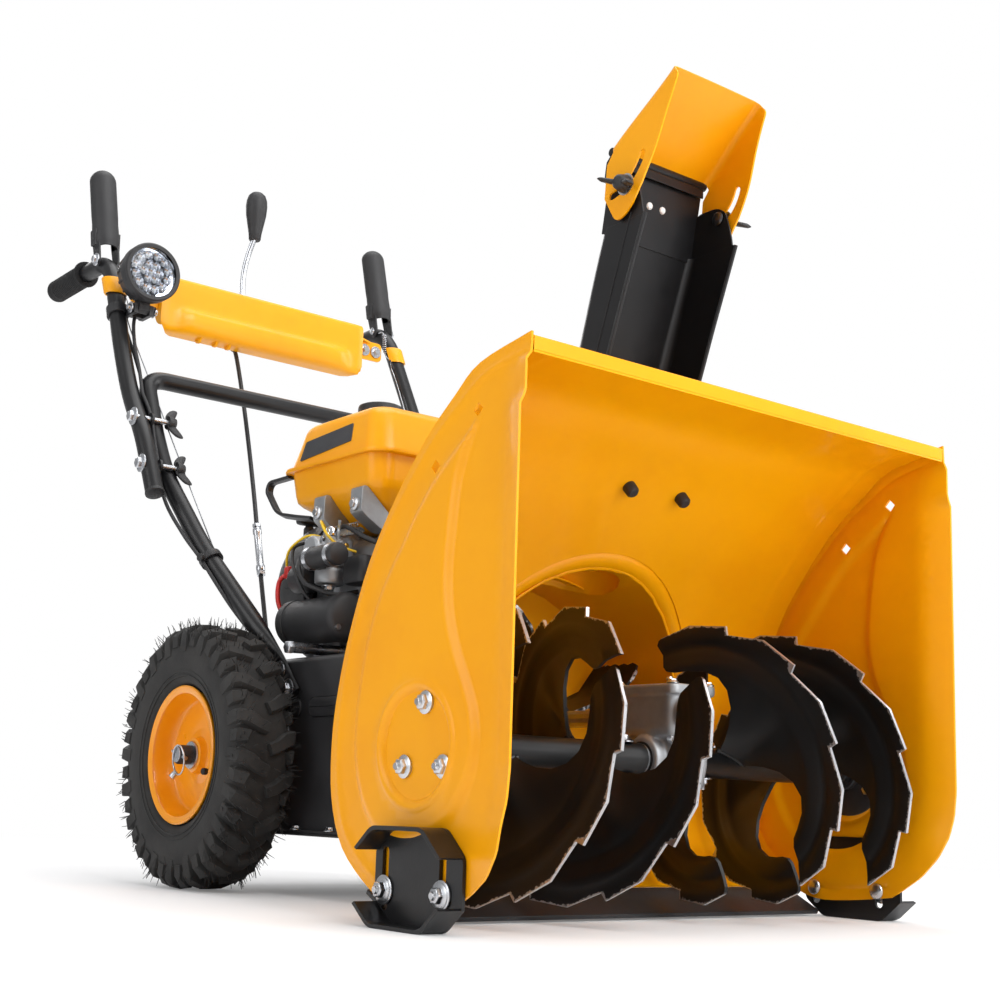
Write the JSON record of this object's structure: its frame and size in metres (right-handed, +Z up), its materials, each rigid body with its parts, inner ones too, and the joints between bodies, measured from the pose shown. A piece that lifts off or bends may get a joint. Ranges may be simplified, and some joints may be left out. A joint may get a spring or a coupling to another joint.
{
  "type": "two stage snowblower",
  "caption": "Walk-behind two stage snowblower: ribbon augers and impeller in an open steel intake, swivelling chute with tilting deflector, engine, friction drive, wheels and handlebars.",
  "frame": {"origin": "centre of the whole machine's footprint box, on the ground plane under the skids and tyres", "axes": "+Z up; -Y is the intake end and +Y the handlebar end; +X is the operator's left"},
  "size_m": [0.672, 1.265, 1.064],
  "materials": {
    "yellow_paint": "semi-gloss powder coat",
    "yellow_plastic": "semi-gloss",
    "black_paint": "satin powder coat",
    "black_plastic": "moulded, satin",
    "rubber": "matt",
    "tyre": "matt, deep tread",
    "rim_paint": "satin",
    "zinc": "zinc plated",
    "steel": "turned steel",
    "aluminium": "die cast",
    "bronze": "machined"
  },
  "bodies": {
    "chassis": {"housing_wrap": "yellow_paint", "side_plate_left": "yellow_paint", "side_plate_right": "yellow_paint", "impeller_drum": "yellow_paint", "impeller_bearing": "zinc", "chute_ring_base": "black_paint", "scraper_bar": "black_paint", "auger_bearing_left": "black_paint", "auger_bearing_right": "black_paint", "gearbox_housing": "aluminium", "auger_belt": "rubber", "traction_belt": "rubber", "tractor_frame": "black_paint", "bottom_cover": "black_paint", "belt_cover": "black_plastic", "engine_block": "aluminium", "valve_cover": "black_paint", "flywheel_housing": "black_paint", "fuel_tank": "yellow_paint", "muffler": "black_paint", "carburetor": "aluminium", "starter_motor": "black_paint", "starter_relay": "black_plastic", "guard_bar": "black_paint", "lower_handle": "black_paint", "upper_handle_left": "black_paint", "upper_handle_right": "black_paint", "grip_left": "rubber", "grip_right": "rubber", "control_panel": "yellow_plastic", "headlight_bracket": "black_paint"},
    "auger": {"auger_shaft": "steel", "auger_left": "black_paint", "auger_right": "black_paint", "worm_wheel": "bronze"},
    "impeller": {"impeller_shaft": "steel", "impeller": "black_paint", "impeller_pulley": "zinc"},
    "crank": {"crankshaft": "steel", "engine_pulley": "steel", "flywheel": "aluminium"},
    "drive_disc": {"friction_disc": "aluminium"},
    "hex_drive": {"hex_shaft": "steel"},
    "drive_wheel": {"friction_wheel": "rubber"},
    "axle": {"wheel_axle": "steel", "axle_gear": "steel", "rim_left": "rim_paint", "rim_right": "rim_paint", "tyre_left": "tyre", "tyre_right": "tyre"},
    "chute": {"chute": "black_paint"},
    "deflector": {"deflector": "yellow_paint"},
    "lever_left": {"lever_left": "black_plastic"},
    "lever_right": {"lever_right": "black_plastic"},
    "shift_lever": {"shift_lever": "zinc"},
    "shift_rod": {"shift_rod": "zinc"},
    "headlight": {"headlight": "black_plastic"},
    "skid_left": {"skid_left": "black_paint"},
    "skid_right": {"skid_right": "black_paint"},
    "fuel_cap": {"fuel_cap": "black_plastic"}
  },
  "joints": [
    {"name": "auger_spin", "type": "hinge", "parent": "chassis", "child": "auger", "pos_m": [0, -0.4845, 0.166], "axis": [1, 0, 0], "continuous": true},
    {"name": "impeller_spin", "type": "hinge", "parent": "chassis", "child": "impeller", "pos_m": [0, -0.2845, 0.212], "axis": [0, 1, 0], "continuous": true},
    {"name": "crank_spin", "type": "hinge", "parent": "chassis", "child": "crank", "pos_m": [0, -0.0845, 0.393], "axis": [0, 1, 0], "continuous": true},
    {"name": "drive_disc_spin", "type": "hinge", "parent": "chassis", "child": "drive_disc", "pos_m": [0, -0.0845, 0.19], "axis": [0, 1, 0], "continuous": true},
    {"name": "axle_spin", "type": "hinge", "parent": "chassis", "child": "axle", "pos_m": [0, 0.1055, 0.164], "axis": [1, 0, 0], "continuous": true},
    {"name": "hex_shaft_spin", "type": "hinge", "parent": "chassis", "child": "hex_drive", "pos_m": [0, 0.0258, 0.19], "axis": [1, 0, 0], "continuous": true},
    {"name": "shift_lever_tilt", "type": "hinge", "parent": "chassis", "child": "shift_lever", "pos_m": [-0.029, 0.4275, 0.832], "axis": [1, 0, 0], "range_deg": [-6.5, 20]},
    {"name": "shift_rod_slide", "type": "slide", "parent": "chassis", "child": "shift_rod", "axis": [0.0494, 0.366, 0.9293], "range_m": [-0.0032, 0.0096]},
    {"name": "drive_wheel_slide", "type": "slide", "parent": "hex_drive", "child": "drive_wheel", "axis": [1, 0, 0], "range_m": [-0.0185, 0.0556]},
    {"name": "chute_rotate", "type": "hinge", "parent": "chassis", "child": "chute", "pos_m": [0, -0.3845, 0.466], "axis": [0, 0, 1], "range_deg": [-95, 95]},
    {"name": "deflector_tilt", "type": "hinge", "parent": "chute", "child": "deflector", "pos_m": [0, -0.4665, 0.822], "axis": [1, 0, 0], "range_deg": [-20, 36]},
    {"name": "lever_left_squeeze", "type": "hinge", "parent": "chassis", "child": "lever_left", "pos_m": [0.25, 0.4475, 0.899], "axis": [-1, 0, 0], "range_deg": [0, 60]},
    {"name": "lever_right_squeeze", "type": "hinge", "parent": "chassis", "child": "lever_right", "pos_m": [-0.25, 0.4475, 0.899], "axis": [-1, 0, 0], "range_deg": [0, 60]},
    {"name": "headlight_tilt", "type": "hinge", "parent": "chassis", "child": "headlight", "pos_m": [-0.232, 0.3515, 0.805], "axis": [1, 0, 0], "range_deg": [-12, 12]},
    {"name": "skid_left_slide", "type": "slide", "parent": "chassis", "child": "skid_left", "axis": [0, 0, 1], "range_m": [-0.034, 0.008]},
    {"name": "skid_right_slide", "type": "slide", "parent": "chassis", "child": "skid_right", "axis": [0, 0, 1], "range_m": [-0.034, 0.008]},
    {"name": "fuel_cap_turn", "type": "hinge", "parent": "chassis", "child": "fuel_cap", "pos_m": [0, 0.0685, 0.64], "axis": [0, 0, 1], "range_deg": [0, 90]}
  ],
  "couplings": [
    {"joint": "impeller_spin", "follows": "auger_spin", "ratio": 10},
    {"joint": "hex_shaft_spin", "follows": "axle_spin", "ratio": -4.5},
    {"joint": "shift_rod_slide", "follows": "shift_lever_tilt", "m_per_rad": 0.0269},
    {"joint": "drive_wheel_slide", "follows": "shift_lever_tilt", "m_per_rad": 0.157}
  ]
}
